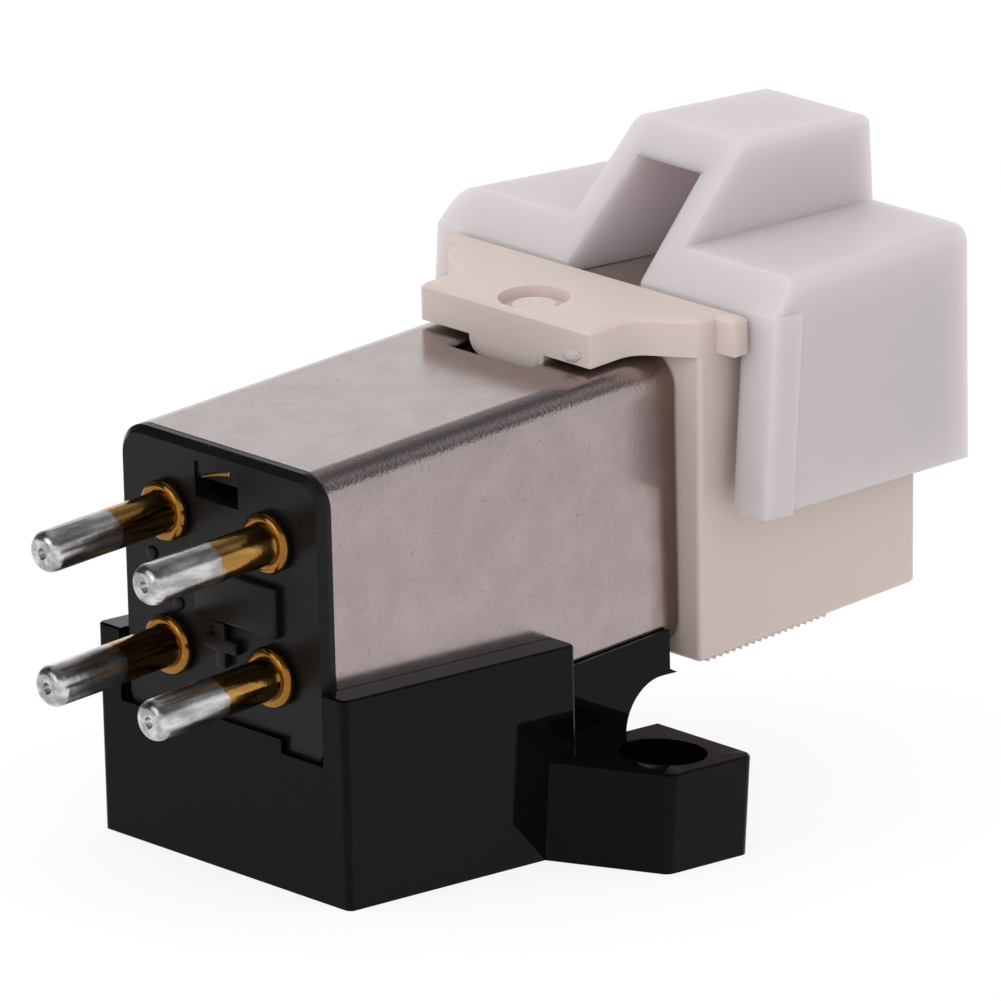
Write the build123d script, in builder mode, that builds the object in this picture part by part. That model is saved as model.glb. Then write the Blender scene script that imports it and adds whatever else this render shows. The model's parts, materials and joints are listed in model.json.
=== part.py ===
"""Moving-magnet turntable cartridge with a clip-on stylus guard, standing on its mounting face.

Millimetres. The origin lies midway between the two screw holes, on the mounting face. X runs across,
Y runs towards the stylus and Z rises from the mounting face to the side that faces the record.
The can, the terminals and the stylus holder lie along one axis that rises a little towards the stylus.
"""

import os
from math import cos, radians, sin, tan

from build123d import *

os.makedirs("parts", exist_ok=True)

# Fits
bond_gap = 0.02  # between pieces that are glued or pressed together
slide_gap = 0.07  # between the can and the stylus holder that plugs into it
tongue_gap = 0.16  # between the can's top and the holder's tongue over it
guard_gap = 0.12  # between the stylus guard and the stylus holder
pivot_gap = 0.04  # around the damper ring, and around the cantilever inside it

# Can
can_tilt = 5.37  # degrees that the can's axis rises towards the stylus
can_rise = 3.62  # can's underside above the mounting face, at the rear
can_width = 8.16
can_height = 8.87
can_length = 13.73
can_wall = 0.35
can_corner = 0.95
notch_width = 2.7
notch_length = 4.07

# Mounting base
hole_spacing = 12.7
hole_diameter = 2.6
ear_rim = 0.47  # ear's width outside its hole
ear_thickness = 2.96
ear_nose = 0.68  # ear's width in front of its hole
ear_flat = 3.36  # straight part of an ear's outer side
ear_sweep = 1.81  # how far the ear's rear flank runs back to the block
ear_corner = 0.35
ear_chamfer = 0.06
ear_opening = 8.5
block_width = 9.96
block_height = 6.25
block_rear = 11.0  # rear edge of the mounting face, behind the holes
block_front = 1.74  # front ends of the block's side walls, behind the holes
block_corner = 0.2
block_chamfer = 0.06
sill_thickness = 0.2
sill_height = 0.48
sill_step_height = 0.42
sill_step_width = 4.8
neck_width = 8.48
neck_lip = 0.78
neck_setback = 0.55  # neck's front end, behind the can's
neck_toe = 0.3
neck_overhang = 1.67
neck_thickness = 0.56
arch_radius = 1.4

# Terminal plate and pins
flange_thickness = 0.4
flange_chamfer = 0.2
plug_depth = 1.2
rib_width = 1.9
rib_height = 3.0
rib_depth = 0.8
slot_width = 1.72
slot_height = 1.08
slot_offset = -0.1
slot_drop = 0.5  # slot's top edge below the can's top
strip_thickness = 0.15
strip_reach = 0.6
pin_diameter = 1.22
pin_reach = 4.93  # pin's free end, behind the terminal plate
pin_spacing = 4.1
pin_lower = 2.67
pin_rise = 4.0  # upper pins above the lower ones
pin_chamfer = 0.26
pin_dimple = 0.34
collar_diameter = 1.8
collar_proud = 0.2
shank_diameter = 0.72
tail_diameter = 0.5
tail_length = 0.6

# Coils and pole pieces
bobbin_length = 6.2
bobbin_gap = 0.22  # between a bobbin and the can's side wall or the other bobbin
bobbin_margin = 1.0  # between a bobbin and the can's top and bottom
bobbin_flange = 0.4
bobbin_wall = 0.3
bobbin_corner = 0.3
coil_inset = 0.35  # windings below the rims of the bobbin's flanges
coil_corner = 0.42
pole_thickness = 0.46
pole_height = 1.6
pole_tail = 0.3
pole_tip = 2.3
pole_ramp = 2.3
pole_lift = 1.45
lead_diameter = 0.14

# Stylus holder
holder_standoff = 0.07
holder_length = 9.06
holder_drop = 0.28  # holder's underside below the can's
holder_top_width = 10.1
holder_floor_width = 9.64
holder_round = 0.15
floor_chamfer = 0.1
shelf_drop = 0.45  # shelf under the guard, below the tongue's front edge
shelf_width = 10.8
shelf_thickness = 0.6
tongue_length = 2.74
tongue_width = 6.74
tongue_thickness = 1.12
tongue_flare = 1.06  # start of the flare, behind the holder's rear face
tongue_hollow = 0.9
tongue_corner = 0.3
tongue_chamfer = 0.12
wing_width = 11.6
wing_length = 1.2
lug_length = 0.55  # widest part of the tongue, next to the guard
tab_drop = 0.56
tab_round = 0.4
tab_length = 0.8
recess_diameter = 2.1
recess_depth = 0.35
recess_setback = 1.55
boss_diameter = 1.25
boss_height = 0.2
boss_offset = 0.12
channel_width = 3.4
channel_rear = 1.35  # rear wall of the cantilever's channel, in front of the holder's rear face
channel_depth = 1.15  # floor of the channel, below the cantilever's axis
rail_width = 0.9
rail_height = 3.2
plug_length = 4.8
bridge_length = 0.7
bridge_height = 0.65
anchor_width = 0.9
anchor_foot = 0.45
grip_inset = 0.45  # first grip ridge, in front of the holder's rear face
grip_pitch = 0.27
grip_height = 0.16
grip_count = 19

# Cantilever and its suspension
pivot_forward = 0.4  # pivot in front of the holder's rear face
pivot_drop = 0.97  # pivot below the can's top
tip_forward = 9.5  # stylus tip in front of the holes
tip_rise = 2.5  # stylus tip above the holder's shelf
tip_length = 0.55
tip_diameter = 0.26
arm_diameter = 0.7
arm_end_diameter = 0.5
arm_bore = 0.4
arm_rear = 3.0
arm_nose = 0.3
sleeve_wall = 0.2
sleeve_length = 1.8
damper_wall = 0.24
damper_length = 0.7
saddle_width = 1.0
saddle_length = 1.2
saddle_forward = 1.3  # saddle's front end, behind the pivot
magnet_thickness = 0.5
magnet_length = 1.05
wire_diameter = 0.12
wire_gap = 0.1

# Stylus guard
guard_rear_width = 13.48
guard_front_width = 11.7
guard_edge_round = 0.5
guard_crease = 0.2
wing_thickness = 1.4
wing_climb = 0.22  # rise of the wings' top towards the front
front_wall = 1.11
flap_depth = 5.46  # flaps below the underside of the wings
roof_clearance = 0.78  # tunnel's roof above the stylus tip
roof_thickness = 1.0
roof_width = 4.2
roof_foot_width = 4.5
roof_round = 0.3
tunnel_top_width = 2.56
tunnel_foot_width = 3.0
roof_setback = 3.41  # roof's rear edge, in front of the wings' rear ends
cut_rise = 0.4  # foot of the sloping rear edge, above the underside of the wings
post_length = 1.2
post_proud = 0.13
post_thickness = 1.15
post_drop = 0.08

# The can's own frame: forward along its axis and up from its underside
tilt = radians(can_tilt)
forward = Vector(0, cos(tilt), sin(tilt))
upward = Vector(0, -sin(tilt), cos(tilt))
can_origin = Vector(0, -block_rear, 0) + forward * sill_thickness + upward * can_rise


def along(run, rise):
    """World Y and Z of a point in the can's frame."""
    point = can_origin + forward * run + upward * rise
    return (point.Y, point.Z)


def at_height(run, z):
    """World Y and Z of the point at height z on the plane square to the can's axis."""
    y, z_floor = along(run, 0)
    return (y - (z - z_floor) * tan(tilt), z)


def across(run):
    """Section square to the can's axis, seen from the rear: X to the right, can's up as Y."""
    return Plane(origin=can_origin + forward * run, x_dir=(1, 0, 0), z_dir=-forward)


def level(rise):
    """Plan parallel to the can's underside: X to the right, can's forward as Y."""
    return Plane(origin=can_origin + upward * rise, x_dir=(1, 0, 0), z_dir=upward)


def beside(x, rise=0):
    """Side view along the can: forward as X, up as Y."""
    return Plane(origin=can_origin + Vector(x, 0, 0) + upward * rise, x_dir=forward, z_dir=(1, 0, 0))


def upright(y):
    """Section square to world Y, seen from the rear: X to the right, Z as Y."""
    return Plane(origin=(0, y, 0), x_dir=(1, 0, 0), z_dir=(0, -1, 0))


# Stations along the can's axis, counted from the terminal plate's rear face
plate_front = flange_thickness + plug_depth
bobbin_rear = plate_front + rib_depth + bond_gap
bobbin_front = bobbin_rear + bobbin_length
can_front = flange_thickness + can_length
neck_front = can_front - neck_setback
holder_rear = can_front + holder_standoff
holder_front = holder_rear + holder_length
lug_rear = holder_rear + wing_length - lug_length
channel_start = holder_rear + channel_rear
plug_rear = holder_rear - plug_length
guard_front = holder_front + guard_gap + front_wall

# Heights in the can's frame
can_middle = can_height / 2
pivot_height = can_height - pivot_drop
inner_width = can_width - 2 * can_wall
inner_height = can_height - 2 * can_wall
tongue_floor = can_height + tongue_gap
tongue_top = tongue_floor + tongue_thickness
plug_top = can_height - can_wall - slide_gap
slot_top = can_height - slot_drop
plug_width = inner_width - 2 * slide_gap
plug_height = inner_height - 2 * slide_gap
bobbin_spacing = inner_width / 2
bobbin_width = bobbin_spacing - 2 * bobbin_gap
bobbin_height = inner_height - 2 * bobbin_margin

# World heights of the stylus end
shelf_rear, tongue_edge = along(holder_rear + wing_length, tongue_top)
shelf_level = tongue_edge - shelf_drop
guard_rear = shelf_rear + guard_gap
wing_floor = shelf_level + guard_gap
wing_level = wing_floor + wing_thickness
tip_level = shelf_level + tip_rise
tunnel_level = tip_level + roof_clearance
roof_level = tunnel_level + roof_thickness
flap_floor = wing_floor - flap_depth

# Cantilever: from the pivot to the root of the stylus tip
pivot = can_origin + forward * (holder_rear + pivot_forward) + upward * pivot_height
tip_root = Vector(0, tip_forward, tip_level - tip_length)
arm_forward = (tip_root - pivot).normalized()
arm_length = (tip_root - pivot).length
arm_up = Vector(0, -arm_forward.Z, arm_forward.Y)


def on_arm(run):
    """Section square to the cantilever at a distance in front of its pivot, seen from the rear."""
    return Plane(origin=pivot + arm_forward * run, x_dir=(1, 0, 0), z_dir=-arm_forward)


def arm_side():
    """Side view along the cantilever: forward as X, up as Y."""
    return Plane(origin=pivot, x_dir=arm_forward, z_dir=(1, 0, 0))


damper_diameter = arm_diameter + 2 * pivot_gap + 2 * damper_wall
sleeve_bore = damper_diameter + 2 * pivot_gap
sleeve_diameter = sleeve_bore + 2 * sleeve_wall

# The cantilever's line in the can's frame, for the channel under it and the wire behind it
pivot_run = holder_rear + pivot_forward
arm_run = arm_forward.dot(forward)
arm_slope = arm_forward.dot(upward) / arm_run
wire_rear = (plug_rear - pivot_run) / arm_run
wire_length = -arm_rear - wire_gap - wire_rear
anchor_floor = pivot_height + arm_slope * (plug_rear - pivot_run) - anchor_foot


def channel_floor(run):
    """Height of the channel's floor in the can's frame."""
    return pivot_height + arm_slope * (run - pivot_run) - channel_depth / arm_run


# Mounting base: ears, block, neck, the can's trough and the screw holes
neck_rear = -block_front - block_width / 8
arch_foot = along(neck_front, 0)[0] - neck_overhang
neck_floor = along(neck_front, 0)[1] - neck_thickness
ear_span = hole_spacing + hole_diameter + 2 * ear_rim
ear_front = hole_diameter / 2 + ear_nose
ear_rear = ear_front - ear_flat
with BuildPart() as mounting_base:
    with BuildSketch(Plane.XY) as ear_sketch:
        with BuildLine():
            Polyline(
                (0, ear_rear - ear_sweep),
                (block_width / 2, ear_rear - ear_sweep),
                (ear_span / 2, ear_rear),
                (ear_span / 2, ear_front),
                (ear_opening / 2, ear_front),
                (ear_opening / 2, arch_foot),
                (0, arch_foot),
                close=True,
            )
        make_face()
        fillet(ear_sketch.vertices().group_by(Axis.X)[-1], ear_corner)
        mirror(about=Plane.YZ)
    extrude(amount=ear_thickness)
    chamfer(mounting_base.faces().sort_by(Axis.Z)[-1].edges(), ear_chamfer)
    with BuildSketch(Plane.XY):
        with Locations((0, -(block_rear + block_front) / 2)):
            RectangleRounded(block_width, block_rear - block_front, block_corner)
    extrude(amount=block_height / cos(tilt), dir=upward)
    chamfer(mounting_base.faces().sort_by(Axis.Z)[-1].edges(), block_chamfer)
    with BuildSketch(Plane.YZ):
        with BuildLine():
            foot = (arch_foot, neck_floor - arch_radius)
            crown = (arch_foot + arch_radius, neck_floor)
            Polyline((neck_rear, 0), (arch_foot, 0), foot)
            RadiusArc(foot, crown, arch_radius)
            Polyline(
                crown,
                at_height(neck_front + neck_toe, neck_floor),
                at_height(neck_front, neck_floor + neck_toe / 2),
                along(neck_front, neck_lip),
                along(neck_front - can_length / 2, neck_lip),
                (neck_rear, 0),
            )
        make_face()
    extrude(amount=neck_width / 2, both=True)
    with BuildSketch(across(0)):
        with Locations((0, can_middle)):
            RectangleRounded(can_width + 2 * bond_gap, can_height + 2 * bond_gap, can_corner)
    extrude(amount=-2 * can_length, mode=Mode.SUBTRACT)
    with BuildSketch(across(-2 * sill_thickness)):
        with Locations((0, sill_height)):
            Rectangle(can_width, can_height, align=(Align.CENTER, Align.MIN))
            Rectangle(sill_step_width, sill_step_height, align=(Align.CENTER, Align.MIN), mode=Mode.SUBTRACT)
    extrude(amount=-2 * sill_thickness, mode=Mode.SUBTRACT)
    with Locations((-hole_spacing / 2, 0, ear_thickness), (hole_spacing / 2, 0, ear_thickness)):
        Hole(hole_diameter / 2)
mounting_base.part.label = "mounting_base"
export_step(mounting_base.part, "parts/mounting_base.step")

# Terminal plate: a flange over the can's rear end and a plug inside it
pin_places = [
    ("terminal_pin_lower_left", -pin_spacing / 2, pin_lower),
    ("terminal_pin_lower_right", pin_spacing / 2, pin_lower),
    ("terminal_pin_upper_left", -pin_spacing / 2, pin_lower + pin_rise),
    ("terminal_pin_upper_right", pin_spacing / 2, pin_lower + pin_rise),
]
with BuildPart() as terminal_plate:
    with BuildSketch(across(0)):
        with Locations((0, can_middle)):
            RectangleRounded(can_width, can_height, can_corner)
    extrude(amount=-flange_thickness)
    chamfer(terminal_plate.faces().sort_by(Axis(can_origin, forward))[0].edges(), flange_chamfer)
    with BuildSketch(across(flange_thickness)):
        with Locations((0, can_middle)):
            RectangleRounded(inner_width - 2 * bond_gap, inner_height - 2 * bond_gap, can_corner - can_wall)
    extrude(amount=-plug_depth)
    with BuildSketch(across(plate_front)):
        with Locations((0, can_middle)):
            Rectangle(rib_width, rib_height)
    extrude(amount=-rib_depth)
    with BuildSketch(across(0)):
        with Locations(*[(x, h) for name, x, h in pin_places]):
            Circle(shank_diameter / 2 + bond_gap)
        with Locations((slot_offset, slot_top)):
            Rectangle(slot_width, slot_height, align=(Align.CENTER, Align.MAX))
    extrude(amount=-plate_front, mode=Mode.SUBTRACT)
terminal_plate.part.label = "terminal_plate"
export_step(terminal_plate.part, "parts/terminal_plate.step")

# Terminal pins: turned, with a collar against the plate and a thin tail for the coil's wire
for pin_name, pin_x, pin_h in pin_places:
    with BuildPart() as terminal_pin:
        with BuildSketch(beside(pin_x, pin_h)):
            with BuildLine():
                Polyline(
                    (pin_dimple / 2 - pin_reach, 0),
                    (-pin_reach, pin_dimple / 2),
                    (-pin_reach, pin_diameter / 2 - pin_chamfer),
                    (pin_chamfer - pin_reach, pin_diameter / 2),
                    (-bond_gap - collar_proud, pin_diameter / 2),
                    (-bond_gap - collar_proud, collar_diameter / 2),
                    (-bond_gap, collar_diameter / 2),
                    (-bond_gap, shank_diameter / 2),
                    (plate_front, shank_diameter / 2),
                    (plate_front, tail_diameter / 2),
                    (plate_front + tail_length, tail_diameter / 2),
                    (plate_front + tail_length, 0),
                    close=True,
                )
            make_face()
        revolve(axis=Axis(can_origin + Vector(pin_x, 0, 0) + upward * pin_h, forward))
    terminal_pin.part.label = pin_name
    export_step(terminal_pin.part, f"parts/{pin_name}.step")

# Earth strip: through the plate's slot and up against the can's inner wall
strip_top = slot_top - bond_gap
with BuildPart() as earth_strip:
    with BuildSketch(beside(slot_offset)):
        with BuildLine():
            Polyline(
                (strip_thickness, strip_top),
                (plate_front + strip_thickness, strip_top),
                (plate_front + strip_thickness, can_height - can_wall - bond_gap),
                (plate_front + strip_reach, can_height - can_wall - bond_gap),
                (plate_front + strip_reach, can_height - can_wall - bond_gap - strip_thickness),
                (plate_front + 2 * strip_thickness, can_height - can_wall - bond_gap - strip_thickness),
                (plate_front + 2 * strip_thickness, strip_top - strip_thickness),
                (strip_thickness, strip_top - strip_thickness),
                close=True,
            )
        make_face()
    extrude(amount=slot_width / 2 - bond_gap, both=True)
earth_strip.part.label = "earth_strip"
export_step(earth_strip.part, "parts/earth_strip.step")

# Shield can: a drawn sleeve, open at both ends, with a notch in its top front edge
with BuildPart() as shield_can:
    with BuildSketch(across(flange_thickness)):
        with Locations((0, can_middle)):
            RectangleRounded(can_width, can_height, can_corner)
            RectangleRounded(inner_width, inner_height, can_corner - can_wall, mode=Mode.SUBTRACT)
    extrude(amount=-can_length)
    with BuildSketch(level(can_middle)):
        with Locations((0, can_front)):
            Rectangle(notch_width, 2 * notch_length)
    extrude(amount=can_height, mode=Mode.SUBTRACT)
shield_can.part.label = "shield_can"
export_step(shield_can.part, "parts/shield_can.step")

# One bobbin, winding and pole piece for each channel
pole_bottom = can_middle - pole_height / 2
pole_rise_start = bobbin_front + bond_gap
pole_front = pole_rise_start + pole_ramp + pole_tip
for side, channel in ((-1, "left"), (1, "right")):
    core_x = side * bobbin_spacing / 2
    core_width = pole_thickness + 2 * bond_gap + 2 * bobbin_wall
    core_height = pole_height + 2 * bond_gap + 2 * bobbin_wall
    with BuildPart() as coil_bobbin:
        with BuildSketch(across(bobbin_rear), across(bobbin_front - bobbin_flange)) as flange_sketch:
            with Locations((core_x, can_middle)):
                Rectangle(bobbin_width, bobbin_height)
            chamfer(flange_sketch.vertices(), bobbin_corner)
        extrude(amount=-bobbin_flange)
        with BuildSketch(across(bobbin_rear)):
            with Locations((core_x, can_middle)):
                Rectangle(core_width, core_height)
        extrude(amount=-bobbin_length)
        with BuildSketch(across(bobbin_rear)):
            with Locations((core_x, can_middle)):
                Rectangle(pole_thickness + 2 * bond_gap, pole_height + 2 * bond_gap)
        extrude(amount=-bobbin_length, mode=Mode.SUBTRACT)
    coil_bobbin.part.label = f"coil_bobbin_{channel}"
    export_step(coil_bobbin.part, f"parts/coil_bobbin_{channel}.step")

    with BuildPart() as coil:
        with BuildSketch(across(bobbin_rear + bobbin_flange + bond_gap)):
            with Locations((core_x, can_middle)):
                RectangleRounded(bobbin_width - 2 * coil_inset, bobbin_height - 2 * coil_inset, coil_corner)
                Rectangle(core_width + 2 * bond_gap, core_height + 2 * bond_gap, mode=Mode.SUBTRACT)
        extrude(amount=2 * bobbin_flange + 2 * bond_gap - bobbin_length)
    coil.part.label = f"coil_{channel}"
    export_step(coil.part, f"parts/coil_{channel}.step")

    with BuildPart() as pole_piece:
        with BuildSketch(beside(core_x)):
            with BuildLine():
                Polyline(
                    (bobbin_rear + pole_tail, pole_bottom),
                    (pole_rise_start, pole_bottom),
                    (pole_rise_start + pole_ramp, pole_bottom + pole_lift),
                    (pole_front, pole_bottom + pole_lift),
                    (pole_front, pole_bottom + pole_lift + pole_height),
                    (pole_rise_start + pole_ramp, pole_bottom + pole_lift + pole_height),
                    (pole_rise_start, pole_bottom + pole_height),
                    (bobbin_rear + pole_tail, pole_bottom + pole_height),
                    close=True,
                )
            make_face()
        extrude(amount=pole_thickness / 2, both=True)
    pole_piece.part.label = f"pole_piece_{channel}"
    export_step(pole_piece.part, f"parts/pole_piece_{channel}.step")

# Coil leads: one wire from each pin's tail, round the bobbin's flange, to the winding
lead_start = plate_front + tail_length / 2
lead_end = bobbin_rear + 2 * bobbin_flange
coil_half = bobbin_height / 2 - coil_inset
lead_half = (bobbin_height / 2 + can_middle - can_wall) / 2
with BuildPart() as coil_leads:
    for pin_name, pin_x, pin_h in pin_places:
        up = 1 if pin_h > can_middle else -1
        with BuildLine(beside(pin_x)) as lead_path:
            Polyline(
                (lead_start, pin_h + up * (tail_diameter / 2 + bond_gap)),
                (lead_start, can_middle + up * lead_half),
                (lead_end, can_middle + up * lead_half),
                (lead_end, can_middle + up * (coil_half + bond_gap)),
            )
        with BuildSketch(Plane(origin=lead_path.line @ 0, z_dir=lead_path.line % 0)):
            RegularPolygon(lead_diameter / 2, 8)
        sweep(path=lead_path.line, transition=Transition.RIGHT)
coil_leads.part.label = "coil_leads"
export_step(coil_leads.part, "parts/coil_leads.step")

# Stylus holder: body, shelf, tongue, plug, channel and grip ridges
with BuildPart() as stylus_holder:
    with BuildSketch(across(holder_rear)):
        with BuildLine():
            Polyline(
                (-holder_floor_width / 2, -holder_drop),
                (holder_floor_width / 2, -holder_drop),
                (holder_top_width / 2, tongue_floor),
                (-holder_top_width / 2, tongue_floor),
                close=True,
            )
        make_face()
    extrude(amount=-holder_length)
    corner_edges = stylus_holder.edges().group_by(Axis(can_origin, upward))[1]
    fillet(corner_edges, holder_round)
    chamfer(stylus_holder.faces().sort_by(Axis(can_origin, upward))[0].edges(), floor_chamfer)
    with BuildSketch(Plane.YZ):
        with BuildLine():
            Polyline(
                along(holder_rear, -can_height),
                along(holder_front, -can_height),
                at_height(holder_front, shelf_level - shelf_thickness),
                (shelf_rear, shelf_level - shelf_thickness),
                along(holder_rear, tongue_floor),
                close=True,
            )
        make_face()
    extrude(amount=ear_span, both=True, mode=Mode.INTERSECT)
    with BuildSketch(Plane.YZ):
        with BuildLine():
            Polyline(
                at_height(lug_rear, shelf_level - shelf_thickness),
                at_height(holder_front, shelf_level - shelf_thickness),
                at_height(holder_front, shelf_level),
                at_height(lug_rear, shelf_level),
                close=True,
            )
        make_face()
    extrude(amount=shelf_width / 2, both=True)
    with BuildSketch(level(tongue_floor)) as tongue_sketch:
        with BuildLine():
            Polyline(
                (0, holder_rear - tongue_length),
                (tongue_width / 2, holder_rear - tongue_length),
                (tongue_width / 2, holder_rear - tongue_flare),
                (holder_top_width / 2, holder_rear),
                (holder_top_width / 2, lug_rear),
                (wing_width / 2, lug_rear),
                (wing_width / 2, holder_rear + wing_length),
                (0, holder_rear + wing_length),
                close=True,
            )
        make_face()
        fillet(tongue_sketch.vertices().group_by(Axis.Y)[2], tongue_corner)
        fillet(tongue_sketch.vertices().group_by(Axis.Y)[1], tongue_hollow)
        mirror(about=Plane.YZ)
    extrude(amount=tongue_thickness)
    chamfer(stylus_holder.faces().sort_by(Axis(can_origin, upward))[-1].edges(), tongue_chamfer)
    with BuildSketch(across(holder_rear - tongue_length)) as tab_sketch:
        with Locations((0, tongue_floor - tab_drop)):
            Rectangle(notch_width - 2 * slide_gap, 2 * tab_drop, align=(Align.CENTER, Align.MIN))
        fillet(tab_sketch.vertices().group_by(Axis.Y)[0], tab_round)
    extrude(amount=-tab_length)
    with BuildSketch(level(tongue_top)):
        with Locations((0, holder_rear - recess_setback)):
            Circle(recess_diameter / 2)
            with Locations((boss_offset, -boss_offset)):
                Circle(boss_diameter / 2, mode=Mode.SUBTRACT)
    extrude(amount=-recess_depth, mode=Mode.SUBTRACT)
    with BuildSketch(level(tongue_top)):
        with Locations((boss_offset, holder_rear - recess_setback - boss_offset)):
            Circle(boss_diameter / 2)
    extrude(amount=boss_height - recess_depth, mode=Mode.SUBTRACT)
    with BuildSketch(across(plug_rear)):
        with Locations((0, can_middle)):
            RectangleRounded(plug_width, plug_height, can_corner - can_wall - slide_gap)
            Rectangle(plug_width - 2 * rail_width, can_height, mode=Mode.SUBTRACT)
        with Locations((0, plug_top - rail_height)):
            Rectangle(can_width, can_height, align=(Align.CENTER, Align.MAX), mode=Mode.SUBTRACT)
    extrude(amount=-plug_length - holder_round)
    with BuildSketch(across(plug_rear)):
        with Locations((0, plug_top)):
            Rectangle(plug_width - rail_width, bridge_height, align=(Align.CENTER, Align.MAX))
            Rectangle(anchor_width, plug_top - anchor_floor, align=(Align.CENTER, Align.MAX))
    extrude(amount=-bridge_length)
    with BuildSketch(beside(0)):
        with BuildLine():
            Polyline(
                (channel_start, channel_floor(channel_start)),
                (2 * holder_front, channel_floor(2 * holder_front)),
                (channel_start, channel_floor(2 * holder_front)),
                close=True,
            )
        make_face()
    extrude(amount=channel_width / 2, both=True, mode=Mode.SUBTRACT)
    with BuildSketch(on_arm(-sleeve_length)):
        Circle(sleeve_diameter / 2 + bond_gap)
    extrude(amount=-2 * sleeve_length, mode=Mode.SUBTRACT)
    with BuildSketch(on_arm(wire_rear)):
        Circle(wire_diameter / 2 + bond_gap)
    extrude(amount=-wire_length, both=True, mode=Mode.SUBTRACT)
    with BuildSketch(beside(0)):
        with BuildLine():
            grip_line = [(holder_rear + grip_inset, -holder_drop + grip_height)]
            for grip in range(grip_count):
                grip_start = holder_rear + grip_inset + grip * grip_pitch
                grip_line.append((grip_start, -holder_drop))
                grip_line.append((grip_start + grip_pitch / 2, -holder_drop - grip_height))
            grip_line.append((holder_rear + grip_inset + grip_count * grip_pitch, -holder_drop))
            grip_line.append((holder_rear + grip_inset + grip_count * grip_pitch, -holder_drop + grip_height))
            Polyline(*grip_line, close=True)
        make_face()
    extrude(amount=holder_floor_width / 2 - 2 * floor_chamfer, both=True)
stylus_holder.part.label = "stylus_holder"
export_step(stylus_holder.part, "parts/stylus_holder.step")

# Suspension: a sleeve in the holder, with the rubber ring that the cantilever pivots in
with BuildPart() as suspension_sleeve:
    with BuildSketch(on_arm(-sleeve_length / 2)):
        Circle(sleeve_diameter / 2)
        Circle(sleeve_bore / 2, mode=Mode.SUBTRACT)
    extrude(amount=-sleeve_length)
suspension_sleeve.part.label = "suspension_sleeve"
export_step(suspension_sleeve.part, "parts/suspension_sleeve.step")

with BuildPart() as damper_ring:
    with BuildSketch(on_arm(-damper_length / 2)):
        Circle(damper_diameter / 2)
        Circle(arm_diameter / 2 + pivot_gap, mode=Mode.SUBTRACT)
    extrude(amount=-damper_length)
damper_ring.part.label = "damper_ring"
export_step(damper_ring.part, "parts/damper_ring.step")

# Cantilever: a tube that narrows to a closed nose, cross-drilled for the stylus tip
with BuildPart() as cantilever:
    with BuildSketch(arm_side()):
        with BuildLine():
            Polyline(
                (-arm_rear, arm_bore / 2),
                (-arm_rear, arm_diameter / 2),
                (arm_length / 2, arm_diameter / 2),
                (arm_length, arm_end_diameter / 2),
                (arm_length + arm_nose / 2, arm_end_diameter / 2),
                (arm_length + arm_nose, arm_end_diameter / 4),
                (arm_length + arm_nose, 0),
                (arm_length / 2, 0),
                (arm_length / 2, arm_bore / 2),
                close=True,
            )
        make_face()
    revolve(axis=Axis(pivot, arm_forward))
    with BuildSketch(Plane.XY.offset(tip_root.Z)):
        with Locations((0, tip_forward)):
            Circle(tip_diameter / 2 + bond_gap)
    extrude(amount=arm_diameter, both=True, mode=Mode.SUBTRACT)
cantilever.part.label = "cantilever"
export_step(cantilever.part, "parts/cantilever.step")

# Stylus tip: a shank through the cantilever with a cone that ends in a blunt point
tip_foot = tip_root.Z - arm_end_diameter / 2
with BuildPart() as stylus_tip:
    with BuildSketch(Plane.YZ):
        with BuildLine():
            Polyline(
                (tip_forward, tip_foot),
                (tip_forward + tip_diameter / 2, tip_foot),
                (tip_forward + tip_diameter / 2, tip_level - tip_length / 2),
                (tip_forward + tip_diameter / 12, tip_level - tip_diameter / 12),
                (tip_forward, tip_level),
                close=True,
            )
        make_face()
    revolve(axis=Axis((0, tip_forward, 0), (0, 0, 1)))
stylus_tip.part.label = "stylus_tip"
export_step(stylus_tip.part, "parts/stylus_tip.step")

# Magnets: two bars in a V, on a square saddle round the cantilever's rear end
saddle_rear = -saddle_forward - saddle_length
with BuildPart() as magnet_saddle:
    with BuildSketch(on_arm(saddle_rear)):
        Rectangle(saddle_width, saddle_width, rotation=45)
        Circle(arm_diameter / 2 + bond_gap, mode=Mode.SUBTRACT)
    extrude(amount=-saddle_length)
magnet_saddle.part.label = "magnet_saddle"
export_step(magnet_saddle.part, "parts/magnet_saddle.step")

for side, channel in ((-1, "left"), (1, "right")):
    magnet_out = (Vector(side, 0, 0) - arm_up).normalized()
    magnet_seat = pivot + arm_forward * (saddle_rear + saddle_length / 2) + magnet_out * (saddle_width / 2 + bond_gap)
    with BuildPart() as magnet:
        with BuildSketch(Plane(origin=magnet_seat, x_dir=arm_forward, z_dir=magnet_out)):
            Rectangle(saddle_length, magnet_thickness)
        extrude(amount=magnet_length)
    magnet.part.label = f"magnet_{channel}"
    export_step(magnet.part, f"parts/magnet_{channel}.step")

# Tie wire: from the plug's anchor to the cantilever's rear end
with BuildPart() as tie_wire:
    with BuildSketch(on_arm(wire_rear)):
        Circle(wire_diameter / 2)
    extrude(amount=-wire_length)
tie_wire.part.label = "tie_wire"
export_step(tie_wire.part, "parts/tie_wire.step")

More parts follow.
